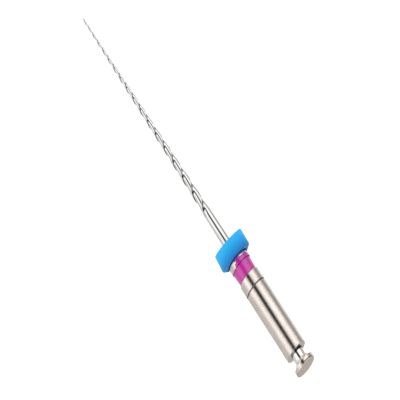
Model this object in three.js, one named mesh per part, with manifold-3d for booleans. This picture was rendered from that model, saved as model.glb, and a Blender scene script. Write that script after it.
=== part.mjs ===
// Rotary endodontic file with a right-angle latch shank, in millimetres, +Z up.
// The origin is the centre of the latch button's outer end face. The file hangs as it does in a
// handpiece, so the blade points down and its tip is at the lowest Z.
import {
  CylinderGeometry,
  Group,
  LatheGeometry,
  BoxGeometry,
  BufferAttribute,
  BufferGeometry,
  Mesh,
  MeshStandardMaterial,
  Vector2,
} from 'three';
import { mergeVertices } from 'three/addons/utils/BufferGeometryUtils.js';
import Module from 'manifold-3d';

// Overall lengths
const handleLength = 11; // from the button's end face to the flange's face
const bladeLength = 25; // from the flange's face to the tip
const tangLength = 6; // hidden in the handle

// Latch end
const shankDiameter = 2.35;
const buttonDiameter = 2.3;
const buttonEdge = 0.16; // rounding between the end face and the rim
const buttonThickness = 0.42; // end face to the start of the sloped shoulder
const shoulderHeight = 0.4; // sloped back of the button, down to the neck
const neckDiameter = 1.31;
const latchLength = 1.55; // end face to the shank's end
const shankChamfer = 0.05;
const flatAcross = 1.9; // drive flat to the opposite side of the shank
const flatLength = 4;

// Collar end
const flangeThickness = 0.62;
const waistLength = 1.18; // colour-coded waist
const collarLength = 1.15; // waist to the middle of the identification groove
const grooveWidth = 0.13;
const grooveDepth = 0.06;
const waistDiameter = 2.04; // over the lacquer, at its narrow end
const waistFlare = 0.1; // how far the radius grows towards the flange
const lacquerThickness = 0.05;
const collarRounding = 0.12;
const flangeDiameter = 2.26;
const flangeEdge = 0.05;

// Bore and bond
const bondThickness = 0.04;
const bondClearance = 0.005;
const boreSpare = 0.3; // empty bottom of the blind bore

// Blade
const tipDiameter = 0.2;
const fluteEndDiameter = 0.86;
const shaftDiameter = 1; // where it enters the handle, and of the tang
const fluteLength = 20.6;
const runOutLength = 1;
const tipRounding = 0.3;
const tipFlat = 0.003; // keeps the rounded tip from closing to a point
const edgeCount = 2;
const edgeSpacingAtTip = 0.63; // from one edge to the next along the blade
const edgeSpacingGrowth = 0.059; // for each millimetre of blade
// Ground section from one edge to the next: [share of the way round, share of the full radius].
const groundSection = [
  [0, 1],
  [0.15, 0.98],
  [0.3, 0.93],
  [0.5, 0.84],
  [0.65, 0.77],
  [0.78, 0.74],
  [0.85, 0.78],
  [0.91, 0.86],
  [1, 1],
];

// Depth stopper
const stopperTopDiameter = 3.38; // tip side
const stopperRimDiameter = 3.48; // where the wall meets the sloped underside
const stopperThickness = 1.78;
const stopperUnderside = 0.45; // height of the sloped underside
const stopperSeatDiameter = 2.3;
const stopperEdge = 0.08;
const stopperClearance = 0.02;

// Facets
const turnSegments = 32;
const roundingSteps = 3;
const waistSteps = 6;
const sectionPoints = 12;
const twistStep = (15 * Math.PI) / 180;
const tipRings = [0, 0.08, 0.3, 0.65]; // places of the first rings, as shares of the rounded tip

const flangeTop = flangeThickness - handleLength;
const waistTop = flangeTop + waistLength;
const grooveMiddle = waistTop + collarLength;
const shankRadius = shankDiameter / 2;
const shaftRadius = shaftDiameter / 2;
const boreRadius = shaftRadius + bondThickness;
const tipZ = -(handleLength + bladeLength);
const pitchAtTip = edgeSpacingAtTip * edgeCount;
const pitchGrowth = edgeSpacingGrowth * edgeCount;

const plated = new MeshStandardMaterial({ color: 0xcfc6ba, roughness: 0.3, metalness: 1 });
const nickelTitanium = new MeshStandardMaterial({ color: 0xc8c7c5, roughness: 0.2, metalness: 1 });
const lacquer = new MeshStandardMaterial({ color: 0xc23a95, roughness: 0.25, metalness: 0 });
const silicone = new MeshStandardMaterial({ color: 0x2c95df, roughness: 0.55, metalness: 0 });
const adhesive = new MeshStandardMaterial({ color: 0xd9c9a0, roughness: 0.5, metalness: 0 });

// A solid turned about Z from [radius, z] points that run upwards on the outside.
function turned(points) {
  const profile = points.map(([radius, z]) => new Vector2(radius, z));
  return new LatheGeometry(profile, turnSegments).rotateX(Math.PI / 2);
}

// Points of a quarter round from one corner of its box to the other, bulging towards `corner`.
function rounding(from, to, corner) {
  const points = [];
  for (let i = 0; i <= roundingSteps; i++) {
    const angle = (i / roundingSteps) * (Math.PI / 2);
    const nearFrom = 1 - Math.sin(angle);
    const nearTo = 1 - Math.cos(angle);
    const along = (k) => corner[k] + (from[k] - corner[k]) * nearFrom + (to[k] - corner[k]) * nearTo;
    points.push([along(0), along(1)]);
  }
  return points;
}

// Outside of the waist, from the shank side to the flange.
function waistPoints(inset) {
  const points = [];
  for (let i = 0; i <= waistSteps; i++) {
    const share = i / waistSteps;
    const radius = waistDiameter / 2 + waistFlare * share * share - inset;
    points.push([radius, waistTop - waistLength * share]);
  }
  return points;
}

function asSolid(wasm, geometry) {
  const bare = geometry.clone().deleteAttribute('normal').deleteAttribute('uv');
  const merged = mergeVertices(bare, 1e-5);
  return new wasm.Manifold(
    new wasm.Mesh({
      numProp: 3,
      vertProperties: merged.attributes.position.array,
      triVerts: new Uint32Array(merged.index.array),
    }),
  );
}

function asGeometry(solid) {
  const mesh = solid.getMesh();
  const geometry = new BufferGeometry();
  geometry.setAttribute('position', new BufferAttribute(mesh.vertProperties, 3));
  geometry.setIndex(new BufferAttribute(mesh.triVerts, 1));
  return geometry;
}

// The handle from its blind bore, round the flange and up to the button.
function handleProfile() {
  const face = -handleLength;
  const flangeRadius = flangeDiameter / 2;
  const boreEnd = face + tangLength + boreSpare;
  const grooveLow = grooveMiddle - grooveWidth / 2;
  const grooveHigh = grooveMiddle + grooveWidth / 2;
  const buttonRadius = buttonDiameter / 2;
  return [
    [0, boreEnd + boreRadius / 2],
    [boreRadius, boreEnd],
    [boreRadius, face],
    ...rounding(
      [flangeRadius - flangeEdge, face],
      [flangeRadius, face + flangeEdge],
      [flangeRadius, face],
    ),
    [flangeRadius, flangeTop],
    ...waistPoints(lacquerThickness).reverse(),
    ...rounding(
      [shankRadius - collarRounding, waistTop],
      [shankRadius, waistTop + collarRounding],
      [shankRadius, waistTop],
    ),
    [shankRadius, grooveLow],
    [shankRadius - grooveDepth, grooveLow],
    [shankRadius - grooveDepth, grooveHigh],
    [shankRadius, grooveHigh],
    [shankRadius, -latchLength - shankChamfer],
    [shankRadius - shankChamfer, -latchLength],
    [neckDiameter / 2, -latchLength],
    [neckDiameter / 2, -buttonThickness - shoulderHeight],
    [buttonRadius, -buttonThickness],
    ...rounding([buttonRadius, -buttonEdge], [buttonRadius - buttonEdge, 0], [buttonRadius, 0]),
    [0, 0],
  ];
}

// The shank turned, then milled flat on its +Y side for the drive.
function makeHandle(wasm) {
  const body = asSolid(wasm, turned(handleProfile()));
  const flatY = flatAcross - shankRadius;
  const cutter = new BoxGeometry(2 * shankDiameter, shankDiameter, flatLength);
  cutter.translate(0, flatY + shankDiameter / 2, -latchLength - flatLength / 2);
  return asGeometry(body.subtract(asSolid(wasm, cutter)));
}

// Lacquer over the waist, from one shoulder to the other.
function makeBand() {
  const outside = waistPoints(0).reverse();
  const inside = waistPoints(lacquerThickness);
  return turned([...outside, ...inside, outside[0]]);
}

// Cured adhesive between the tang and the bore.
function makeBond() {
  const inner = shaftRadius + bondClearance;
  const low = -handleLength;
  const high = low + tangLength;
  return turned([
    [inner, low],
    [boreRadius, low],
    [boreRadius, high],
    [inner, high],
    [inner, low],
  ]);
}

function bladeRadius(fromTip) {
  if (fromTip >= bladeLength) return shaftRadius;
  const start = fromTip < fluteLength ? 0 : fluteLength;
  const end = fromTip < fluteLength ? fluteLength : bladeLength;
  const low = fromTip < fluteLength ? tipDiameter : fluteEndDiameter;
  const high = fromTip < fluteLength ? fluteEndDiameter : shaftDiameter;
  return (low + ((high - low) * (fromTip - start)) / (end - start)) / 2;
}

// Turn of the section at a distance from the tip: a right-hand helix whose pitch grows.
function bladeTwist(fromTip) {
  const reach = Math.min(fromTip, fluteLength);
  return ((2 * Math.PI) / pitchGrowth) * Math.log(1 + (pitchGrowth * reach) / pitchAtTip);
}

function whereTwistIs(twist) {
  return (Math.exp((twist * pitchGrowth) / (2 * Math.PI)) - 1) * (pitchAtTip / pitchGrowth);
}

// Distances from the tip of the blade's rings: close on the rounded tip, then one for each step of twist.
function bladeStations() {
  const stations = tipRings.map((share) => share * tipRounding);
  const first = bladeTwist(tipRounding);
  const last = bladeTwist(fluteLength);
  const count = Math.ceil((last - first) / twistStep);
  for (let i = 0; i <= count; i++) stations.push(whereTwistIs(first + ((last - first) * i) / count));
  stations.push(bladeLength, bladeLength + tangLength);
  return stations;
}

// Radius of the section at an angle, as a share of the circle through its cutting edges.
function sectionShare(angle, roundness) {
  const step = (2 * Math.PI) / edgeCount;
  const way = (((angle % step) + step) % step) / step;
  const next = groundSection.findIndex(([place]) => place > way);
  const [[before, low], [after, high]] = [groundSection[next - 1], groundSection[next]];
  const ground = low + ((high - low) * (way - before)) / (after - before);
  return ground + (1 - ground) * roundness;
}

function makeBlade() {
  const stations = bladeStations();
  const geometry = new CylinderGeometry(1, 1, 1, sectionPoints, stations.length - 1);
  geometry.rotateX(Math.PI / 2);
  const position = geometry.attributes.position;
  for (let i = 0; i < position.count; i++) {
    const ring = Math.round((position.getZ(i) + 0.5) * (stations.length - 1));
    const fromTip = stations[ring];
    const angle = Math.round((Math.atan2(position.getY(i), position.getX(i)) * sectionPoints) / (2 * Math.PI));
    const local = (angle * 2 * Math.PI) / sectionPoints;
    const onAxis = Math.hypot(position.getX(i), position.getY(i)) < 0.5;
    const toRunOut = Math.max(0, (fromTip - fluteLength + runOutLength) / runOutLength);
    const intoTip = Math.max(0, 1 - (fromTip + tipFlat) / tipRounding);
    const tipShare = Math.sqrt(1 - intoTip * intoTip);
    const share = tipShare * sectionShare(local, Math.min(1, toRunOut));
    const radius = onAxis ? 0 : bladeRadius(fromTip) * share;
    const turn = local + bladeTwist(fromTip);
    position.setXYZ(i, radius * Math.cos(turn), radius * Math.sin(turn), tipZ + fromTip);
  }
  return geometry;
}

// Silicone disc, its sloped underside resting on the flange.
function makeStopper() {
  const seat = -handleLength;
  const top = seat - stopperThickness;
  const rim = seat - stopperUnderside;
  const bore = shaftRadius + stopperClearance;
  const topRadius = stopperTopDiameter / 2;
  const rimRadius = stopperRimDiameter / 2;
  return turned([
    [bore, top],
    ...rounding([topRadius - stopperEdge, top], [topRadius, top + stopperEdge], [topRadius, top]),
    [rimRadius, rim - stopperEdge],
    [rimRadius - stopperEdge, rim + stopperEdge / 2],
    [stopperSeatDiameter / 2, seat],
    [bore, seat],
    [bore, top],
  ]);
}

function named(name, geometry, material) {
  const mesh = new Mesh(geometry, material);
  mesh.name = name;
  return mesh;
}

const wasm = await Module();
wasm.setup();

const file = new Group();
file.add(
  named('fluted_blade', makeBlade(), nickelTitanium),
  named('tang_bond', makeBond(), adhesive),
  named('latch_handle', makeHandle(wasm), plated),
  named('colour_band', makeBand(), lacquer),
  named('depth_stopper', makeStopper(), silicone),
);

export default file;
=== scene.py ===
import math
import bmesh
import bpy
import numpy
from mathutils import Matrix, Vector, noise


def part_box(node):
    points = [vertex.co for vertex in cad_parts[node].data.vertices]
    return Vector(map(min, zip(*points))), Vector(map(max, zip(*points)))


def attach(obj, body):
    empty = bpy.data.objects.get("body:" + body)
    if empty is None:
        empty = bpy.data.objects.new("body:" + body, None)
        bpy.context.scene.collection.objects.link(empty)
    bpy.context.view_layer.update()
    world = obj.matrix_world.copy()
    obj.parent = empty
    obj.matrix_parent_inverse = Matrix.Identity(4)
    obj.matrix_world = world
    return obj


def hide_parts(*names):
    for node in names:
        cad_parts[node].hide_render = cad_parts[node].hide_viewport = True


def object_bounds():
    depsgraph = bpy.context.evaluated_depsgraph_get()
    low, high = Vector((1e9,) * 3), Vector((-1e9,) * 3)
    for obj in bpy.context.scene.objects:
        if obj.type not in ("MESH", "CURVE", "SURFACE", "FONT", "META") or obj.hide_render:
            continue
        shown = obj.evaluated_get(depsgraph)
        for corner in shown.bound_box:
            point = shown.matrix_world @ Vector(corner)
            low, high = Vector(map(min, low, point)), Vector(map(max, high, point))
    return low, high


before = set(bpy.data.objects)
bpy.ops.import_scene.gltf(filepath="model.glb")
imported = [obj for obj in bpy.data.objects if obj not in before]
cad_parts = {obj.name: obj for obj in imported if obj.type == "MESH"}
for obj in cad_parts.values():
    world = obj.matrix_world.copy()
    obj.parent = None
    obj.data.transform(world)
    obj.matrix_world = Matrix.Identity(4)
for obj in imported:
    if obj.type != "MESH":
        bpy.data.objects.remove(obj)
cadBox = [list(corner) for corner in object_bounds()]
scene = bpy.context.scene
mm = 0.001  # sizes below are in millimetres, Blender is in metres
print("frame loaded")


# small helpers


def addNode(tree, kind, inputs=None, **settings):
    # inputs may be plain values or another node's output
    made = tree.nodes.new(kind)
    for key, value in settings.items():
        setattr(made, key, value)
    for key, value in (inputs or {}).items():
        if isinstance(value, bpy.types.NodeSocket):
            tree.links.new(value, made.inputs[key])
        else:
            made.inputs[key].default_value = value
    return made


def calc(tree, operation, first, second=0.0, third=0.0):
    return addNode(tree, "ShaderNodeMath", {0: first, 1: second, 2: third}, operation=operation).outputs[0]


def remap(tree, value, fromLow, fromHigh, toLow, toHigh, curve="LINEAR"):
    given = {"Value": value, "From Min": fromLow, "From Max": fromHigh, "To Min": toLow, "To Max": toHigh}
    return addNode(tree, "ShaderNodeMapRange", given, interpolation_type=curve).outputs[0]


def blendColours(tree, share, first, second):
    made = addNode(tree, "ShaderNodeMix", data_type="RGBA")
    for socket, value in ((made.inputs[0], share), (made.inputs[6], first), (made.inputs[7], second)):
        if isinstance(value, bpy.types.NodeSocket):
            tree.links.new(value, socket)
        else:
            socket.default_value = (*value, 1) if isinstance(value, tuple) else value
    return made.outputs[2]


def scaleColour(tree, colour, share):
    return addNode(tree, "ShaderNodeVectorMath", {0: colour, "Scale": share}, operation="SCALE").outputs[0]


def newGroup(name, kind, inputs, outputs):
    # inputs and outputs are (name, kind of socket, starting value)
    tree = bpy.data.node_groups.new(name, kind)
    for direction, sockets in (("INPUT", inputs), ("OUTPUT", outputs)):
        for label, socketKind, start in sockets:
            made = tree.interface.new_socket(label, in_out=direction, socket_type="NodeSocket" + socketKind)
            if start is not None:
                made.default_value = start
    return tree, tree.nodes.new("NodeGroupInput").outputs, tree.nodes.new("NodeGroupOutput").inputs


def rounded(corners, steps=5, hold=0.02):
    # (radius, z, rounding) corners become arcs, held by a point on either side so that flats shade flat
    points = []
    for i, (radius, z, rounding) in enumerate(corners):
        here = Vector((radius, z))
        if not rounding:
            points.append(tuple(here))
            continue
        before = Vector(corners[i - 1][:2]) - here
        after = Vector(corners[i + 1][:2]) - here
        half = before.angle(after) / 2
        reach = min(rounding / math.tan(half), 0.48 * before.length, 0.48 * after.length)
        middle = here + (before.normalized() + after.normalized()).normalized() * reach / math.cos(half)
        start, end = here + before.normalized() * reach, here + after.normalized() * reach
        if before.length > 2 * (reach + hold):
            points.append(tuple(start + before.normalized() * hold))
        for k in range(steps + 1):
            share = k / steps
            turn = (start - middle).lerp(end - middle, share).normalized() * (start - middle).length
            points.append(tuple(middle + turn))
        if after.length > 2 * (reach + hold):
            points.append(tuple(end + after.normalized() * hold))
    return points


def turned(name, profile, around, shape, material, crease=40):
    # turns (radius, z) points about the upright axis; shape(angle, radius, z) gives each point's place
    work = bmesh.new()
    rings = []
    for radius, z in profile:
        ring = []
        for i in range(around):
            angle = 2 * math.pi * i / around
            ring.append(work.verts.new(Vector(shape(angle, radius, z)) * mm))
        rings.append(ring)
    pairs = list(zip(rings, rings[1:]))
    if profile[0][0] > 0:
        pairs.append((rings[-1], rings[0]))
    for low, high in pairs:
        for i in range(around):
            j = (i + 1) % around
            work.faces.new((low[i], low[j], high[j], high[i]))
    bmesh.ops.remove_doubles(work, verts=work.verts, dist=1e-8)
    bmesh.ops.recalc_face_normals(work, faces=work.faces)
    for face in work.faces:
        face.smooth = True
    for edge in work.edges:
        if len(edge.link_faces) == 2 and edge.calc_face_angle(0) > math.radians(crease):
            edge.smooth = False
    mesh = bpy.data.meshes.new(name)
    work.to_mesh(mesh)
    work.free()
    made = bpy.data.objects.new(name, mesh)
    scene.collection.objects.link(made)
    mesh.materials.append(material)
    return made


# camera: level studio view from the front, a little above, rolled so the blade rises to the left

cameraSetup = {
    "elevation": 16.6,  # degrees
    "squeeze": 0.70,  # the view is narrower than true by this factor
    "roll": (0.6751, -0.7381),  # where the shank points in the view: right and up
    "pixelsPerMm": 13.745,  # true scale along the view's height
    "pixels": 400,
    "centre": (0.0, 0.0, -18.0),
    "aside": (0.60, -0.56),  # the view's middle lies this far right and up of the centre
    "distance": 600.0,
}


def makeCamera(setup):
    elevation = math.radians(setup["elevation"])
    back = Vector((0, -math.cos(elevation), math.sin(elevation)))
    along = (Vector((0, 0, 1)) - back * back.z).normalized()
    across = along.cross(back)
    toRight, toUp = setup["roll"]
    right = along * toRight + across * toUp
    up = along * toUp - across * toRight
    squeeze = setup["squeeze"]
    slanted = up * squeeze + back * math.sqrt(1 - squeeze * squeeze)
    stretch = Matrix((right, slanted, back)).transposed()
    data = bpy.data.cameras.new("studioCamera")
    data.type = "ORTHO"
    data.ortho_scale = setup["pixels"] / (setup["pixelsPerMm"] * squeeze) * mm
    data.clip_start, data.clip_end = 0.01, 10
    camera = bpy.data.objects.new("studioCamera", data)
    scene.collection.objects.link(camera)
    # the slanted picture plane: an even stretch on a turned parent, and the rest of the turn on the camera
    outer, sizes, inner = numpy.linalg.svd(numpy.array(stretch))
    if numpy.linalg.det(outer) < 0:
        outer, inner = -outer, -inner
    rig = bpy.data.objects.new("cameraRig", None)
    scene.collection.objects.link(rig)
    aside = right * setup["aside"][0] + up * setup["aside"][1]
    place = (Vector(setup["centre"]) + aside + back * setup["distance"]) * mm
    spread = Matrix.Diagonal((*sizes.tolist(), 1))
    rig.matrix_world = Matrix.Translation(place) @ Matrix(outer.tolist()).to_4x4() @ spread
    camera.parent = rig
    camera.matrix_local = Matrix(inner.tolist()).to_4x4()
    scene.camera = camera


makeCamera(cameraSetup)
scene.view_settings.view_transform = "Standard"
print("camera made")


# studio: a white surround with softboxes either side and a narrow dark card behind the camera

studio = {
    # brightness round the upright axis: degrees from the camera, positive towards +X
    "bands": [
        (-180, 0.95), (-148, 0.90), (-124, 0.70), (-107, 0.36), (-94, 0.31), (-81, 0.62), (-70, 0.95),
        (-59, 1.20), (-49, 1.36), (-40, 1.30), (-31, 1.12), (-23, 0.90), (-17, 0.60), (-12, 0.20),
        (-7, 0.03), (-2, 0.01), (4, 0.01), (8, 0.03), (13, 0.20), (18, 0.58), (25, 0.92), (33, 1.12),
        (42, 1.26), (51, 1.26), (62, 1.00), (72, 0.78), (84, 0.66), (96, 0.66),
        (110, 0.66), (128, 0.55), (155, 0.75), (180, 0.95),
    ],
    "most": 1.4,
    "above": (0.05, 0.22, 0.52),  # from and to this sine of the elevation the bands drop to this share
    "bandsEnd": (0.55, 0.80),  # sine of the elevation where the bands fade into plain white
    "soft": 1.16,  # level of the even light on matt surfaces
    "card": (8, 15),  # degrees to either side where the dark card fades out
    "cardStart": (0.40, 0.60),  # sine of the elevation, up or down, from which the card covers the white
    "cardEnd": (0.90, 0.97),  # and where it ends
    "cardLevel": 0.03,
    "overhead": 0.85,  # light from straight above, against the sides
    "floorDrop": 0.35,  # floor below the tip
    "floorSize": 700.0,
    "floorColour": (0.82, 0.815, 0.80),
    "floorSpeckColour": (0.8077, 0.802775, 0.788),
    "floorSpeck": 60.0,
    "floorGlow": 0.42,
}


def rayKinds(tree):
    # rays seen in shine or through something clear, and rays seen directly
    path = addNode(tree, "ShaderNodeLightPath").outputs
    return calc(tree, "MAXIMUM", path["Is Glossy Ray"], path["Is Transmission Ray"]), path["Is Camera Ray"]


def mixShaders(tree, share, first, second):
    return addNode(tree, "ShaderNodeMixShader", {0: share, 1: first.outputs[0], 2: second.outputs[0]})


def makeStudio(setup):
    world = bpy.data.worlds.new("studio")
    scene.world = world
    world.use_nodes = True
    tree = world.node_tree
    tree.nodes.clear()
    way = addNode(tree, "ShaderNodeTexCoord").outputs["Generated"]
    split = addNode(tree, "ShaderNodeSeparateXYZ", {0: way}).outputs
    angle = calc(tree, "ARCTAN2", split["X"], calc(tree, "MULTIPLY", split["Y"], -1.0))
    ramp = addNode(tree, "ShaderNodeValToRGB", {"Fac": remap(tree, angle, -math.pi, math.pi, 0.0, 1.0)})
    stops = ramp.color_ramp.elements
    for i, (degrees, level) in enumerate(setup["bands"]):
        place = (degrees + 180) / 360
        stop = stops[i] if i < 2 else stops.new(place)
        stop.position = place
        stop.color = (*[level / setup["most"]] * 3, 1)
    level = calc(tree, "MULTIPLY", ramp.outputs["Color"], setup["most"])
    low, high, share = setup["above"]
    level = calc(tree, "MULTIPLY", level, remap(tree, split["Z"], low, high, 1.0, share, "SMOOTHSTEP"))
    height = calc(tree, "ABSOLUTE", split["Z"])
    level = remap(tree, height, *setup["bandsEnd"], level, 1.0, "SMOOTHSTEP")
    # the dark card reaches further up and down than the bands
    fromCard, toCard = (math.radians(degrees) for degrees in setup["card"])
    inCard = remap(tree, calc(tree, "ABSOLUTE", angle), fromCard, toCard, 1.0, 0.0, "SMOOTHSTEP")
    inCard = calc(tree, "MULTIPLY", inCard, remap(tree, height, *setup["cardEnd"], 1.0, 0.0, "SMOOTHSTEP"))
    inCard = calc(tree, "MULTIPLY", inCard, remap(tree, height, *setup["cardStart"], 0.0, 1.0, "SMOOTHSTEP"))
    level = calc(tree, "MULTIPLY", level, remap(tree, inCard, 0.0, 1.0, 1.0, setup["cardLevel"]))
    bands = addNode(tree, "ShaderNodeBackground", {"Strength": level})
    fading = remap(tree, split["Z"], 0.0, 1.0, setup["soft"], setup["soft"] * setup["overhead"])
    soft = addNode(tree, "ShaderNodeBackground", {"Strength": fading})
    white = addNode(tree, "ShaderNodeBackground", {"Color": (1, 1, 1, 1)})
    for light in (bands, soft):
        light.inputs["Color"].default_value = (1, 1, 1, 1)
    mirrored, direct = rayKinds(tree)
    lit = mixShaders(tree, mirrored, soft, bands)
    seen = mixShaders(tree, direct, lit, white)
    addNode(tree, "ShaderNodeOutputWorld", {"Surface": seen.outputs[0]})


def makeFloor(setup):
    material = bpy.data.materials.new("paleFloor")
    material.use_nodes = True
    tree = material.node_tree
    tree.nodes.clear()
    speck = addNode(tree, "ShaderNodeTexNoise", {"Scale": setup["floorSpeck"], "Detail": 3.0}).outputs["Fac"]
    colour = blendColours(tree, speck, setup["floorColour"], setup["floorSpeckColour"])
    paper = addNode(tree, "ShaderNodeBsdfDiffuse", {"Color": colour})
    glow = addNode(tree, "ShaderNodeEmission", {"Color": (1, 1, 1, 1), "Strength": setup["floorGlow"]})
    bright = addNode(tree, "ShaderNodeAddShader", {0: paper.outputs[0], 1: glow.outputs[0]})
    mirrored, direct = rayKinds(tree)
    shown = mixShaders(tree, direct, paper, bright)
    final = mixShaders(tree, mirrored, shown, addNode(tree, "ShaderNodeBsdfTransparent"))
    addNode(tree, "ShaderNodeOutputMaterial", {"Surface": final.outputs[0]})
    half = setup["floorSize"] / 2 * mm
    z = cadBox[0][2] - setup["floorDrop"] * mm
    mesh = bpy.data.meshes.new("floor")
    corners = [(-half, -half, z), (half, -half, z), (half, half, z), (-half, half, z)]
    mesh.from_pydata(corners, [], [(0, 1, 2, 3)])
    mesh.materials.append(material)
    floor = bpy.data.objects.new("floor", mesh)
    scene.collection.objects.link(floor)


makeStudio(studio)
makeFloor(studio)
print("studio made")


# shared surface effects


def cloud(tree, where, scale, detail):
    made = addNode(tree, "ShaderNodeTexNoise", {"Vector": where, "Scale": scale, "Detail": detail})
    return made.outputs["Fac"]


def makeTurningMarks():
    # fine rings left by the lathe, broken up a little round the work
    tree, given, result = newGroup(
        "turningMarks", "ShaderNodeTree",
        [("Vector", "Vector", None), ("Ring Spacing", "Float", 0.05), ("Breakup", "Float", 0.3)],
        [("Height", "Float", None), ("Mask", "Float", None)],
    )
    split = addNode(tree, "ShaderNodeSeparateXYZ", {0: given["Vector"]}).outputs
    perMetre = calc(tree, "DIVIDE", 1 / mm, given["Ring Spacing"])
    slow = calc(tree, "MULTIPLY", perMetre, 0.06)
    stretched = addNode(tree, "ShaderNodeCombineXYZ", {
        "X": calc(tree, "MULTIPLY", split["X"], slow),
        "Y": calc(tree, "MULTIPLY", split["Y"], slow),
        "Z": calc(tree, "MULTIPLY", split["Z"], perMetre),
    }).outputs[0]
    rings = cloud(tree, stretched, 1.0, 2.0)
    patch = cloud(tree, given["Vector"], 0.9 / mm, 2.0)
    broken = remap(tree, patch, 0.35, 0.65, calc(tree, "SUBTRACT", 1.0, given["Breakup"]), 1.0)
    tree.links.new(calc(tree, "MULTIPLY", rings, broken), result["Height"])
    tree.links.new(remap(tree, rings, 0.35, 0.65, 0.0, 1.0), result["Mask"])
    return tree


def makeFineGrain():
    # even fine grain with larger soft patches
    tree, given, result = newGroup(
        "fineGrain", "ShaderNodeTree",
        [("Vector", "Vector", None), ("Grain Size", "Float", 0.05), ("Patch Size", "Float", 0.6)],
        [("Grain", "Float", None), ("Patch", "Float", None)],
    )
    for label, output, detail in (("Grain Size", "Grain", 2.0), ("Patch Size", "Patch", 3.0)):
        scale = calc(tree, "DIVIDE", 1 / mm, given[label])
        tree.links.new(cloud(tree, given["Vector"], scale, detail), result[output])
    return tree


def makeBandMask():
    # 1 between two heights, with soft edges
    tree, given, result = newGroup(
        "heightBand", "ShaderNodeTree",
        [("Vector", "Vector", None), ("Low", "Float", 0.0), ("High", "Float", 1.0),
         ("Softness", "Float", 0.05)],
        [("Mask", "Float", None)],
    )
    split = addNode(tree, "ShaderNodeSeparateXYZ", {0: given["Vector"]}).outputs
    z = calc(tree, "MULTIPLY", split["Z"], 1 / mm)
    above = calc(tree, "DIVIDE", calc(tree, "SUBTRACT", z, given["Low"]), given["Softness"])
    below = calc(tree, "DIVIDE", calc(tree, "SUBTRACT", given["High"], z), given["Softness"])
    inside = calc(tree, "MINIMUM", above, below)
    tree.links.new(remap(tree, inside, -0.5, 0.5, 0.0, 1.0, "SMOOTHSTEP"), result["Mask"])
    return tree


turningMarks = makeTurningMarks()
fineGrain = makeFineGrain()
heightBand = makeBandMask()
print("surface effects made")


def startMaterial(name):
    material = bpy.data.materials.new(name)
    material.use_nodes = True
    tree = material.node_tree
    where = addNode(tree, "ShaderNodeTexCoord").outputs["Object"]
    return material, tree, tree.nodes["Principled BSDF"], where


def fillGroup(tree, group, inputs):
    made = addNode(tree, "ShaderNodeGroup", None, node_tree=group)
    for key, value in inputs.items():
        if isinstance(value, bpy.types.NodeSocket):
            tree.links.new(value, made.inputs[key])
        else:
            made.inputs[key].default_value = value
    return made.outputs


def bandMask(tree, where, low, high, softness):
    given = {"Vector": where, "Low": low, "High": high, "Softness": softness}
    return fillGroup(tree, heightBand, given)["Mask"]


def multiplied(tree, first, *others):
    for other in others:
        first = calc(tree, "MULTIPLY", first, other)
    return first


def fromAxis(tree, where):
    # distance from the upright axis
    level = addNode(tree, "ShaderNodeVectorMath", {0: where, 1: (1.0, 1.0, 0.0)}, operation="MULTIPLY")
    return addNode(tree, "ShaderNodeVectorMath", {0: level.outputs[0]}, operation="LENGTH").outputs["Value"]


def feedShader(tree, shader, colour, roughness):
    tree.links.new(colour, shader.inputs["Base Color"])
    tree.links.new(roughness, shader.inputs["Roughness"])


def addBump(tree, shader, height, depth):
    bump = addNode(tree, "ShaderNodeBump", {"Height": height, "Strength": 1.0, "Distance": depth * mm})
    tree.links.new(bump.outputs[0], shader.inputs["Normal"])


# blade: one ground wire with helical flutes, run-out, smooth shaft and the tang inside the handle

blade = {
    "length": 25.0,
    "tangLength": 6.0,
    "fluteLength": 20.6,
    "runOut": 1.0,
    "tipDiameter": 0.2,
    "fluteEndDiameter": 0.86,
    "shaftDiameter": 1.0,
    "tipRounding": 0.3,
    "edges": 2,
    "spacingAtTip": 0.63,
    "spacingGrowth": 0.059,
    # radius of the section from one cutting edge to the next, as a share of the full radius
    "section": [(0, 1), (0.15, 0.98), (0.3, 0.93), (0.5, 0.84), (0.65, 0.77), (0.78, 0.74), (0.85, 0.78),
                (0.91, 0.86), (0.96, 0.95), (1, 1)],
    # painted shade: share of the near-black groove colour at each place round the section
    "grooveShade": [(0.0, 0.0), (0.78, 0.0), (0.83, 0.5), (0.88, 1.0), (0.92, 0.6), (0.96, 0.0), (1.0, 0.0)],
    "grooveShadeNearTip": [(0.0, 0.0), (0.76, 0.0), (0.81, 0.6), (0.85, 1.0), (0.91, 1.0), (0.96, 0.2),
                           (1.0, 0.0)],
    "nearTip": (5.0, 15.0),  # distances from the tip over which the near-tip look fades
    # painted highlight: paler steel towards the tip
    "steelNearTipHighlight": (0.97, 0.965, 0.955),
    "pointsPerEdge": 36,
    "rings": 620,
    "ringsInFlutes": 0.94,
    "steel": (0.86, 0.855, 0.84),
    "dull": (0.70, 0.695, 0.685),
    # painted shade: near-black colour put in the flutes' grooves
    "grooveShadeColour": (0.012, 0.011, 0.010),
    "dullShare": 0.5,  # most of the dull steel in the larger patches
    "patchSize": 1.5,
    "roughness": (0.04, 0.08),
    "grindSpacing": 0.05,
    "grindBreakup": 0.5,
    "grindDepth": 0.0006,
    "creaseAngle": 35,  # degrees past which an edge shades sharp
}


def addCurve(tree, value, points):
    made = addNode(tree, "ShaderNodeFloatCurve", {"Value": value})
    held = made.mapping.curves[0].points
    for i, (x, y) in enumerate(points):
        point = held[i] if i < 2 else held.new(x, y)
        point.location = (x, y)
    made.mapping.update()
    return made.outputs[0]


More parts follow.
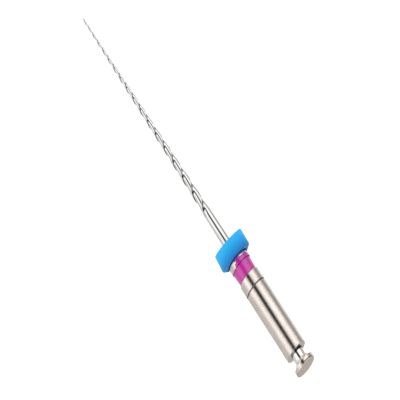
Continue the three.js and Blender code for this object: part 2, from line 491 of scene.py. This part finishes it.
def bladeTree(setup):
    lengths = ["Length", "Tang Length", "Flute Length", "Run Out", "Tip Diameter", "Flute End Diameter",
               "Shaft Diameter", "Tip Rounding", "Spacing At Tip", "Tip Height"]
    tree, given, result = newGroup(
        "groundBlade", "GeometryNodeTree",
        [(label, "Float", 0.001) for label in lengths]
        + [("Spacing Growth", "Float", 0.05), ("Edges", "Int", 3), ("Rings", "Int", 500),
           ("Rings In Flutes", "Float", 0.9), ("Points Per Edge", "Int", 20), ("Material", "Material", None)],
        [("Geometry", "Geometry", None)],
    )
    around = calc(tree, "MULTIPLY_ADD", given["Edges"], given["Points Per Edge"], 1.0)
    grid = addNode(tree, "GeometryNodeMeshGrid", {
        "Size X": 1.0, "Size Y": 1.0, "Vertices X": given["Rings"], "Vertices Y": around,
    }).outputs["Mesh"]
    flatPlace = addNode(tree, "GeometryNodeInputPosition").outputs[0]
    place = addNode(tree, "ShaderNodeSeparateXYZ", {0: flatPlace}).outputs
    share = calc(tree, "ADD", place["X"], 0.5)
    turn = calc(tree, "ADD", place["Y"], 0.5)
    # distance from the tip: most rings lie in the flutes
    split = given["Rings In Flutes"]
    whole = calc(tree, "ADD", given["Length"], given["Tang Length"])
    rest = calc(tree, "SUBTRACT", whole, given["Flute Length"])
    fromTip = calc(tree, "ADD", remap(tree, share, 0.0, split, 0.0, given["Flute Length"]),
                   remap(tree, share, split, 1.0, 0.0, rest))
    diameters = ("Tip Diameter", "Flute End Diameter", "Shaft Diameter")
    halves = [calc(tree, "MULTIPLY", given[label], 0.5) for label in diameters]
    tipRadius, fluteEndRadius, shaftRadius = halves
    wider = calc(tree, "SUBTRACT", shaftRadius, fluteEndRadius)
    cone = remap(tree, fromTip, 0.0, given["Flute Length"], tipRadius, fluteEndRadius)
    full = calc(tree, "ADD", cone, remap(tree, fromTip, given["Flute Length"], given["Length"], 0.0, wider))
    # rounded tip and closed tang end
    into = remap(tree, fromTip, 0.0, given["Tip Rounding"], 1.0, 0.0)
    tip = calc(tree, "SQRT", calc(tree, "SUBTRACT", 1.0, calc(tree, "MULTIPLY", into, into)))
    unclosed = calc(tree, "LESS_THAN", share, 0.9999)
    # section, twisted along a right-hand helix whose pitch grows
    phase = calc(tree, "FRACT", calc(tree, "MULTIPLY", turn, given["Edges"]))
    section = addCurve(tree, phase, setup["section"])
    runOutStart = calc(tree, "SUBTRACT", given["Flute Length"], given["Run Out"])
    ground = remap(tree, fromTip, runOutStart, given["Flute Length"], section, 1.0, "SMOOTHSTEP")
    tipShade = addCurve(tree, phase, setup["grooveShadeNearTip"])
    plainShade = addCurve(tree, phase, setup["grooveShade"])
    near, far = (distance * mm for distance in setup["nearTip"])
    shadeCurve = remap(tree, fromTip, near, far, tipShade, plainShade)
    shade = remap(tree, fromTip, runOutStart, given["Flute Length"], shadeCurve, 0.0, "SMOOTHSTEP")
    radius = multiplied(tree, full, ground, calc(tree, "MULTIPLY", tip, unclosed))
    reach = calc(tree, "MINIMUM", fromTip, given["Flute Length"])
    growth = calc(tree, "MULTIPLY", given["Spacing Growth"], given["Edges"])
    gained = calc(tree, "MULTIPLY", given["Spacing Growth"], reach)
    grown = calc(tree, "ADD", 1.0, calc(tree, "DIVIDE", gained, given["Spacing At Tip"]))
    perGrowth = calc(tree, "DIVIDE", 2 * math.pi, growth)
    twist = calc(tree, "MULTIPLY", perGrowth, calc(tree, "LOGARITHM", grown, math.e))
    angle = calc(tree, "MULTIPLY_ADD", turn, 2 * math.pi, twist)
    moved = addNode(tree, "ShaderNodeCombineXYZ", {
        "X": calc(tree, "MULTIPLY", radius, calc(tree, "COSINE", angle)),
        "Y": calc(tree, "MULTIPLY", radius, calc(tree, "SINE", angle)),
        "Z": calc(tree, "ADD", given["Tip Height"], fromTip),
    }).outputs[0]
    # the groove's painted shade is kept before the points move, while the fields still read the flat grid
    shape = addNode(tree, "GeometryNodeStoreNamedAttribute", {
        "Geometry": grid, "Name": "groove", "Value": shade,
    }, data_type="FLOAT", domain="POINT").outputs[0]
    shape = addNode(tree, "GeometryNodeSetPosition", {"Geometry": shape, "Position": moved}).outputs[0]
    shape = addNode(tree, "GeometryNodeMergeByDistance", {"Geometry": shape, "Distance": 1e-7}).outputs[0]
    shape = addNode(tree, "GeometryNodeSetShadeSmooth", {"Geometry": shape}).outputs[0]
    steep = addNode(tree, "GeometryNodeInputMeshEdgeAngle").outputs["Unsigned Angle"]
    sharp = calc(tree, "GREATER_THAN", steep, math.radians(setup["creaseAngle"]))
    shape = addNode(tree, "GeometryNodeSetShadeSmooth", {
        "Geometry": shape, "Selection": sharp, "Shade Smooth": False,
    }, domain="EDGE").outputs[0]
    shape = addNode(tree, "GeometryNodeRealizeInstances", {"Geometry": shape}).outputs[0]
    dressed = addNode(tree, "GeometryNodeSetMaterial", {"Geometry": shape, "Material": given["Material"]})
    tree.links.new(dressed.outputs[0], result["Geometry"])
    return tree


def fromTree(name, tree, values):
    # runs a geometry tree once and keeps the result as a plain mesh
    made = bpy.data.objects.new(name, bpy.data.meshes.new(name + "Blank"))
    scene.collection.objects.link(made)
    modifier = made.modifiers.new("shape", "NODES")
    modifier.node_group = tree
    for item in tree.interface.items_tree:
        if item.item_type == "SOCKET" and item.in_out == "INPUT":
            modifier[item.identifier] = values[item.name]
    graph = bpy.context.evaluated_depsgraph_get()
    mesh = bpy.data.meshes.new_from_object(made.evaluated_get(graph), depsgraph=graph)
    made.modifiers.remove(modifier)
    made.data = mesh
    mesh.name = name
    return made


def bladeMaterial(setup):
    material, tree, shader, where = startMaterial("groundNickelTitanium")
    marks = fillGroup(tree, turningMarks, {
        "Vector": where, "Ring Spacing": setup["grindSpacing"], "Breakup": setup["grindBreakup"],
    })
    grain = fillGroup(tree, fineGrain, {"Vector": where, "Patch Size": setup["patchSize"]})
    groove = addNode(tree, "ShaderNodeAttribute", None, attribute_name="groove").outputs["Fac"]
    dull = remap(tree, grain["Patch"], 0.35, 0.65, 0.0, setup["dullShare"])
    colour = blendColours(tree, dull, setup["steel"], setup["dull"])
    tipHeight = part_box("fluted_blade")[0][2]
    height = addNode(tree, "ShaderNodeSeparateXYZ", {0: where}).outputs["Z"]
    near, far = (tipHeight + distance * mm for distance in setup["nearTip"])
    # painted highlight: the steel turns paler towards the tip
    colour = blendColours(tree, remap(tree, height, near, far, 0.9, 0.0), colour, setup["steelNearTipHighlight"])
    # painted shade: the flutes' grooves darkened nearly to black
    colour = blendColours(tree, groove, colour, setup["grooveShadeColour"])
    feedShader(tree, shader, colour, remap(tree, marks["Mask"], 0.0, 1.0, *setup["roughness"]))
    shader.inputs["Metallic"].default_value = 1.0
    addBump(tree, shader, marks["Height"], setup["grindDepth"])
    return material


def makeBlade(setup):
    made = fromTree("groundBlade", bladeTree(setup), {
        "Length": setup["length"] * mm, "Tang Length": setup["tangLength"] * mm,
        "Flute Length": setup["fluteLength"] * mm, "Run Out": setup["runOut"] * mm,
        "Tip Diameter": setup["tipDiameter"] * mm, "Flute End Diameter": setup["fluteEndDiameter"] * mm,
        "Shaft Diameter": setup["shaftDiameter"] * mm, "Tip Rounding": setup["tipRounding"] * mm,
        "Spacing At Tip": setup["spacingAtTip"] * mm, "Spacing Growth": setup["spacingGrowth"],
        "Tip Height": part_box("fluted_blade")[0][2], "Edges": setup["edges"], "Rings": setup["rings"],
        "Rings In Flutes": setup["ringsInFlutes"], "Points Per Edge": setup["pointsPerEdge"],
        "Material": bladeMaterial(setup),
    })
    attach(made, "file")
    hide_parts("fluted_blade")


makeBlade(blade)
print("blade made")


# latch handle: turned and plated, with collar, waist, groove, drive flat, neck and button

handle = {
    "flangeFace": -11.0,
    "flangeDiameter": 2.31,
    "waistLow": -10.38,
    "creaseDepth": 0.03,  # undercut between waist and flange
    "creaseHeight": 0.05,
    "waistHigh": -9.2,
    "waistDiameter": 2.02,
    "waistFlare": 0.05,
    "shankDiameter": 2.35,
    "collarRounding": 0.12,
    "edgeRounding": 0.02,
    "smallRounding": 0.03,
    "flangeRounding": 0.06,
    "shankEndRounding": 0.05,
    "grooveMiddle": -8.05,
    "grooveWidth": 0.13,
    "grooveDepth": 0.06,
    "grooveSlope": 0.02,
    "shankEnd": -1.55,
    "neckDiameter": 1.31,
    "shoulderLow": -0.82,
    "buttonLow": -0.42,
    "buttonDiameter": 2.3,
    "buttonEdge": 0.07,
    "faceDome": 0.03,
    "boreDiameter": 1.08,
    "boreDepth": 6.3,
    "flatHeight": 0.725,  # drive flat's distance from the axis
    "flatLength": 4.0,
    "flatStep": 0.001,  # between the last round ring and the first milled one
    "around": 192,
    "plating": (0.885, 0.80, 0.735),
    "darker": (0.725, 0.64, 0.58),
    "bright": (0.96, 0.94, 0.91),  # polished neck and shoulder
    "faceColour": (0.84, 0.73, 0.62),
    # painted shade: near-black colour of the dark lines at the neck's root, the button's rim and the flange
    # crease
    "paintedShadeColour": (0.02, 0.018, 0.016),
    # painted shade: dark colour put in the ring groove
    "grooveShadeColour": (0.10, 0.085, 0.075),
    "speckle": 0.14,  # share by which fine speckles darken the plating
    "grainSize": 0.12,
    "patchSize": 1.1,
    "patchShare": 0.45,  # most of the darker plating in the larger patches
    # painted shade lines, darker on the -X side
    "neckRootShade": 0.13,  # height of the dark line in the root of the neck
    "neckRootShadeReach": (0.72, 0.78),  # distances from the axis over which it fades
    "neckRootShadeSides": (-0.05, 0.25),  # it is full left of these places across and weak right of them
    "rimShadeLine": (-0.15, -0.08),  # heights of the dark line on the button's rim
    "rimShadeLineSides": (-1.05, -0.85, -0.25, -0.05),  # where it fades in and out across
    "creaseShadeLine": (-0.012, 0.02),  # from below to above the crease
    "creaseShadeShare": 0.7,
    "grooveShadeShare": 0.8,
    "grooveRoughness": 0.25,  # added in the groove
    "faceShades": (0.86, 1.06),  # darkest and brightest speckles of the face
    "grainBump": 0.8,  # height of the grain as a share of the rings'
    "neckShine": 0.35,  # the neck's roughness as a share of the shank's
    "roughness": (0.15, 0.24),
    "ringSpacing": 0.08,
    "ringBreakup": 0.4,
    "ringDepth": 0.0014,
}


def waistRadius(z):
    share = min(1, max(0, (handle["waistHigh"] - z) / (handle["waistHigh"] - handle["waistLow"])))
    return handle["waistDiameter"] / 2 + handle["waistFlare"] * share * share


def handleProfile(setup):
    shank = setup["shankDiameter"] / 2
    flange = setup["flangeDiameter"] / 2
    bore = setup["boreDiameter"] / 2
    button = setup["buttonDiameter"] / 2
    neck = setup["neckDiameter"] / 2
    face = setup["flangeFace"]
    floor = face + setup["boreDepth"]
    low, high = setup["waistLow"], setup["waistHigh"]
    groove = [setup["grooveMiddle"] + side * setup["grooveWidth"] / 2 for side in (-1, 1)]
    deep = shank - setup["grooveDepth"]
    heights = [low + setup["creaseHeight"]] + [low + (high - low) * k / 10 for k in range(1, 10)]
    edge, small = setup["edgeRounding"], setup["smallRounding"]
    end, slope, dome = setup["shankEnd"], setup["grooveSlope"], setup["faceDome"]
    flatLow = end - setup["flatLength"]
    corners = [
        (0, floor + bore / 2, 0), (bore, floor, 0), (bore, face, small),
        (flange, face, setup["flangeRounding"]), (flange, low, small),
        (waistRadius(low) - setup["creaseDepth"], low, 0.01),
        *[(waistRadius(z), z, 0) for z in heights],
        (waistRadius(high), high, edge), (shank, high, setup["collarRounding"]),
        (shank, groove[0], edge), (deep, groove[0] + slope, 0.015),
        (deep, groove[1] - slope, 0.015), (shank, groove[1], edge),
        (shank, flatLow - setup["flatStep"], 0), (shank, flatLow, 0),
        (shank, end, setup["shankEndRounding"]), (neck, end, edge), (neck, setup["shoulderLow"], edge),
        (button, setup["buttonLow"], small), (button, -dome, setup["buttonEdge"]),
        (button * 0.5, -0.2 * dome, 0.3), (0, 0, 0),
    ]
    return rounded(corners)


def millFlat(angle, radius, z):
    x, y = radius * math.cos(angle), radius * math.sin(angle)
    step = handle["flatStep"]
    low = handle["shankEnd"] - handle["flatLength"] - step / 2
    if low < z <= handle["shankEnd"] and radius > handle["neckDiameter"] / 2 + step:
        y = min(y, handle["flatHeight"])
    return x, y, z


def paintedShadeMasks(tree, where, setup):
    # painted shade: dark lines in the root of the neck, on the button's rim and in the crease by the flange
    across = addNode(tree, "ShaderNodeSeparateXYZ", {0: where}).outputs["X"]
    end, low = setup["shankEnd"], setup["waistLow"]
    inner, outer = (distance * mm for distance in setup["neckRootShadeReach"])
    left, right = (place * mm for place in setup["neckRootShadeSides"])
    root = multiplied(
        tree, bandMask(tree, where, end, end + setup["neckRootShade"], 0.04),
        remap(tree, fromAxis(tree, where), inner, outer, 1.0, 0.0),
        remap(tree, across, left, right, 1.0, 0.35),
    )
    sides = [place * mm for place in setup["rimShadeLineSides"]]
    rim = multiplied(
        tree, bandMask(tree, where, *setup["rimShadeLine"], 0.02),
        remap(tree, across, sides[2], sides[3], 1.0, 0.0), remap(tree, across, sides[0], sides[1], 0.0, 1.0),
    )
    below, above = setup["creaseShadeLine"]
    crease = bandMask(tree, where, low + below, low + above, 0.02)
    return root, rim, calc(tree, "MULTIPLY", crease, setup["creaseShadeShare"])


def handleMaterial(setup):
    material, tree, shader, where = startMaterial("platedMetal")
    marks = fillGroup(tree, turningMarks, {
        "Vector": where, "Ring Spacing": setup["ringSpacing"], "Breakup": setup["ringBreakup"],
    })
    grain = fillGroup(tree, fineGrain, {
        "Vector": where, "Grain Size": setup["grainSize"], "Patch Size": setup["patchSize"],
    })
    patches = remap(tree, grain["Patch"], 0.35, 0.65, 0.0, setup["patchShare"])
    colour = blendColours(tree, patches, setup["plating"], setup["darker"])
    speckles = remap(tree, grain["Grain"], 0.36, 0.64, 1 - setup["speckle"], 1 + 0.4 * setup["speckle"])
    colour = scaleColour(tree, colour, speckles)
    halfGroove = setup["grooveWidth"] / 2
    middle = setup["grooveMiddle"]
    # painted shade: the ring groove darkened
    groove = bandMask(tree, where, middle - halfGroove, middle + halfGroove, 0.03)
    grooveShadeMask = calc(tree, "MULTIPLY", groove, setup["grooveShadeShare"])
    colour = blendColours(tree, grooveShadeMask, colour, setup["grooveShadeColour"])
    neck = bandMask(tree, where, setup["shankEnd"] + 0.004, setup["buttonLow"], 0.005)
    colour = blendColours(tree, neck, colour, setup["bright"])
    face = bandMask(tree, where, -setup["faceDome"] - 0.04, 1.0, 0.03)
    faceGrain = remap(tree, grain["Grain"], 0.35, 0.65, *setup["faceShades"])
    colour = blendColours(tree, face, colour, scaleColour(tree, setup["faceColour"], faceGrain))
    # painted shade lines laid over the plating
    for mask in paintedShadeMasks(tree, where, setup):
        colour = blendColours(tree, mask, colour, setup["paintedShadeColour"])
    rough = remap(tree, marks["Mask"], 0.0, 1.0, *setup["roughness"])
    rough = calc(tree, "MULTIPLY", rough, remap(tree, neck, 0.0, 1.0, 1.0, setup["neckShine"]))
    feedShader(tree, shader, colour, calc(tree, "MULTIPLY_ADD", groove, setup["grooveRoughness"], rough))
    shader.inputs["Metallic"].default_value = 1.0
    height = calc(tree, "MULTIPLY_ADD", grain["Grain"], setup["grainBump"], marks["Height"])
    addBump(tree, shader, height, setup["ringDepth"])
    return material


def makeHandle(setup):
    made = turned("turnedHandle", handleProfile(setup), setup["around"], millFlat, handleMaterial(setup))
    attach(made, "file")
    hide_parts("latch_handle")


makeHandle(handle)
print("handle made")


# lacquer: magenta code colour in the waist, run over part of the flange

lacquer = {
    "thickness": 0.05,
    "overflow": 0.02,  # height of the film over the flange
    "sunk": 0.012,  # how far it dips under the metal where the flange is bare
    "edge": 0.03,  # width of the film's rounded border
    "around": 288,
    "waistRings": 12,
    "flangeRings": 20,
    "end": -10.94,
    "colour": (0.61, 0.015, 0.395),
    "deep": (0.55, 0.012, 0.30),
    "creaseShadeColour": (0.34, 0.010, 0.19),
    # painted shade: darker magenta for the lines at the crease and the collar
    "roughness": (0.16, 0.24),
    # share of the flange's height that is covered, by how far across towards -X
    "cover": [(-1, -0.15), (-0.46, -0.12), (-0.4, 0.3), (-0.28, 0.86), (0.1, 0.84), (0.35, 0.66),
              (0.6, 0.6), (1, 0.5)],
    "ragged": 0.06,  # how far the film's edge wanders up and down
    "island": (-0.27, -10.72, 0.07),  # bare spot: place across, height and radius
    "innerGap": 0.03,  # how far the film reaches into the metal
    "creaseStep": 0.04,  # how far the film steps in at the crease
    # painted shade lines at the foot of the waist and at the collar
    "footShadeLine": (-0.015, 0.03),  # dark line at the foot of the waist, from below to above
    "collarShadeLine": 0.05,  # height of the dark line at the collar
    "shadeLineShare": 0.9,
    "grainSize": 0.09,
    "patchSize": 0.5,
    "grainDepth": 0.002,
    "gloss": 0.6,  # specular level
    "coat": (1.0, 0.06),  # weight and roughness of the clear top
}


def lacquerCover(angle, z):
    # 1 where the film covers the flange: bare on the +X side, ragged further across, with one bare island
    wander = noise.noise(Vector((2.2 * math.cos(angle), 2.2 * math.sin(angle), 1.7)))
    ragged = noise.noise(Vector((9 * math.cos(angle), 9 * math.sin(angle), 3 * z)))
    side = -math.cos(angle)
    share = float(numpy.interp(side, *zip(*lacquer["cover"])))
    foot, face = handle["waistLow"], handle["flangeFace"]
    climb = (foot - face) * share + lacquer["ragged"] * wander + lacquer["ragged"] * ragged
    covered = climb - (foot - z)
    across, height, size = lacquer["island"]
    island = math.hypot((side - across) * 1.1, z - height) - size - 0.04 * ragged
    return max(0, min(1, 0.5 + min(covered, island) / lacquer["edge"]))


def coatFlange(angle, radius, z):
    flange = handle["flangeDiameter"] / 2
    if z < handle["waistLow"] and radius > flange - 0.001:
        cover = math.sin(lacquerCover(angle, z) * math.pi / 2)
        radius = flange - lacquer["sunk"] + (lacquer["sunk"] + lacquer["overflow"]) * cover
    return radius * math.cos(angle), radius * math.sin(angle), z


def lacquerMaterial(setup):
    material, tree, shader, where = startMaterial("codeLacquer")
    grain = fillGroup(tree, fineGrain, {
        "Vector": where, "Grain Size": setup["grainSize"], "Patch Size": setup["patchSize"],
    })
    share = remap(tree, grain["Patch"], 0.35, 0.65, 0.0, 1.0)
    colour = blendColours(tree, share, setup["colour"], setup["deep"])
    # painted shade: darker lines in the crease by the flange and at the collar
    foot, head = handle["waistLow"], handle["waistHigh"]
    footShadeLine = [foot + height for height in setup["footShadeLine"]]
    for low, high in (footShadeLine, (head - setup["collarShadeLine"], 0.0)):
        line = calc(tree, "MULTIPLY", bandMask(tree, where, low, high, 0.03), setup["shadeLineShare"])
        colour = blendColours(tree, line, colour, setup["creaseShadeColour"])
    feedShader(tree, shader, colour, remap(tree, grain["Grain"], 0.3, 0.7, *setup["roughness"]))
    shader.inputs["Specular IOR Level"].default_value = setup["gloss"]
    shader.inputs["Coat Weight"].default_value, shader.inputs["Coat Roughness"].default_value = setup["coat"]
    addBump(tree, shader, grain["Grain"], setup["grainDepth"])
    return material


def makeLacquer(setup):
    low, high = handle["waistLow"], handle["waistHigh"]
    flange = handle["flangeDiameter"] / 2
    film = setup["thickness"]
    gap = setup["innerGap"]
    waist = [high + (low - high) * k / setup["waistRings"] for k in range(setup["waistRings"] + 1)]
    rings = setup["flangeRings"]
    foot = [low - 0.01 + (setup["end"] - low) * k / rings for k in range(rings + 1)]
    outside = [(waistRadius(z) + film, z) for z in waist[:-1]]
    outside.append((waistRadius(low) + film, low + handle["creaseHeight"]))
    outside.append((waistRadius(low) + film - setup["creaseStep"], low))
    outside += [(flange, z) for z in foot]
    inside = [(flange - gap, foot[-1]), (flange - gap, low)]
    inside += [(waistRadius(z) - gap, z) for z in reversed(waist)]
    made = turned("lacquerBand", outside + inside, setup["around"], coatFlange, lacquerMaterial(setup))
    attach(made, "file")
    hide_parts("colour_band")


makeLacquer(lacquer)
print("lacquer made")


# depth stopper: moulded silicone, sitting slightly askew on the shaft

stopper = {
    "topDiameter": 3.38,
    "rimDiameter": 3.48,
    "thickness": 1.78,
    "underside": 0.34,
    "seatDiameter": 2.2,
    "recess": (0.16, 0.16),  # width and depth of the fold round the seat
    "boreDiameter": 1.04,
    "boreChamfer": 0.08,
    "rimRounding": 0.2,
    "topRounding": 0.06,
    "tilt": (-4.3, -10.0),  # degrees it leans, sideways and fore and aft
    "drop": -0.08,  # how far it sits off the flange at its middle
    "around": 160,
    # painted light and shade: the blue is lighter at the tip side and darker towards the flange
    "light": (0.05, 0.55, 0.98),
    "middle": (0.012, 0.45, 0.94),
    "dark": (0.003, 0.20, 0.56),
    "middlePlace": 0.45,  # where between tip side and flange the middle colour lies
    # painted shade: near-black blue round the seat, where the stopper meets the flange
    "foldShadeColour": (0.003, 0.03, 0.09),
    "foldShadeEdges": (0.97, 1.05, 1.17, 1.28),  # distances from the axis where its dark colour starts and ends
    "foldShadeHeights": (0.4, 0.3),  # below the flange, where that colour fades in
    "roughness": (0.42, 0.56),
    "gloss": 0.3,  # specular level
    "grainSize": 0.07,
    "grainDepth": 0.006,
    "pressed": 0.012,  # gap left to the flange
    "gripWidth": 0.25,  # ring round the bore that stretches instead of leaning
    "pivot": 0.3,  # share of the thickness below the flange that it leans about
    "sideShift": 0.3,  # the fore and aft lean shifts it by this share only
}


def leanStopper(angle, radius, z):
    # leans on the shaft, and lies flat where it is pressed against the flange
    x, y = radius * math.cos(angle), radius * math.sin(angle)
    grip = max(0, min(1, (radius - stopper["boreDiameter"] / 2) / stopper["gripWidth"]))
    leanX, leanY = (math.tan(math.radians(degrees)) for degrees in stopper["tilt"])
    lift = (x * leanX + y * leanY) * grip
    seat = handle["flangeFace"] - stopper["pressed"]
    width, depth = stopper["recess"]
    intoFold = radius - stopper["seatDiameter"] / 2
    ceiling = seat - depth if 0.005 < intoFold < width + 0.005 else seat
    below = (seat - stopper["pivot"] * stopper["thickness"] - z) * grip
    x += below * leanX
    y += below * leanY * stopper["sideShift"]
    leaning = z - stopper["drop"] * grip + lift
    return x, y, leaning if z < seat - stopper["thickness"] / 2 else min(leaning, ceiling)


def stopperMaterial(setup):
    material, tree, shader, where = startMaterial("stopperSilicone")
    grain = fillGroup(tree, fineGrain, {"Vector": where, "Grain Size": setup["grainSize"]})
    height = addNode(tree, "ShaderNodeSeparateXYZ", {0: where}).outputs["Z"]
    seat = handle["flangeFace"]
    middle = setup["middlePlace"]
    # painted light and shade: light blue at the tip side running to dark blue at the flange
    down = remap(tree, height, (seat - setup["thickness"]) * mm, seat * mm, 0.0, 1.0)
    colour = blendColours(tree, remap(tree, down, 0.0, middle, 0.0, 1.0), setup["light"], setup["middle"])
    colour = blendColours(tree, remap(tree, down, middle, 1.0, 0.0, 1.0), colour, setup["dark"])
    # painted shade: darker in the fold where the stopper meets the flange
    away = fromAxis(tree, where)
    edges = [edge * mm for edge in setup["foldShadeEdges"]]
    low, high = ((seat - depth) * mm for depth in setup["foldShadeHeights"])
    foldShade = multiplied(
        tree, remap(tree, away, edges[2], edges[3], 1.0, 0.0, "SMOOTHSTEP"),
        remap(tree, away, edges[0], edges[1], 0.0, 1.0, "SMOOTHSTEP"),
        remap(tree, height, low, high, 0.0, 1.0),
    )
    colour = blendColours(tree, foldShade, colour, setup["foldShadeColour"])
    feedShader(tree, shader, colour, remap(tree, grain["Grain"], 0.3, 0.7, *setup["roughness"]))
    shader.inputs["Specular IOR Level"].default_value = setup["gloss"]
    addBump(tree, shader, grain["Grain"], setup["grainDepth"])
    return material


def makeStopper(setup):
    face = handle["flangeFace"]
    top = face - setup["thickness"]
    bore = setup["boreDiameter"] / 2
    seat = setup["seatDiameter"] / 2
    width, depth = setup["recess"]
    chamfer = setup["boreChamfer"]
    corners = [
        (bore, face - 0.06, 0.0), (bore + 0.1, face - setup["pressed"], 0.03),
        (seat, face - setup["pressed"], 0.03), (seat + 0.01, face - depth, 0.02),
        (seat + width, face - depth, 0.02), (seat + width + 0.02, face - 0.03, 0.03),
        (setup["rimDiameter"] / 2, face - setup["underside"], setup["rimRounding"]),
        (setup["topDiameter"] / 2, top, setup["topRounding"]),
        (bore + chamfer, top, 0.04), (bore, top + chamfer, 0.0),
    ]
    outline = rounded(corners)
    made = turned("siliconeStopper", outline, setup["around"], leanStopper, stopperMaterial(setup))
    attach(made, "stopper")
    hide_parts("depth_stopper")


makeStopper(stopper)
print("stopper made")


# cured adhesive round the tang, on the solid as it is

adhesive = {
    "colour": (0.62, 0.52, 0.34),
    "darker": (0.52, 0.42, 0.26),
    "roughness": (0.3, 0.45),
    "patchSize": 0.4,
}


def makeAdhesive(setup):
    material, tree, shader, where = startMaterial("curedAdhesive")
    grain = fillGroup(tree, fineGrain, {"Vector": where, "Patch Size": setup["patchSize"]})
    colour = blendColours(tree, grain["Patch"], setup["colour"], setup["darker"])
    feedShader(tree, shader, colour, remap(tree, grain["Grain"], 0.3, 0.7, *setup["roughness"]))
    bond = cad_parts["tang_bond"]
    bond.data.materials.clear()
    bond.data.materials.append(material)


makeAdhesive(adhesive)
print("adhesive made")
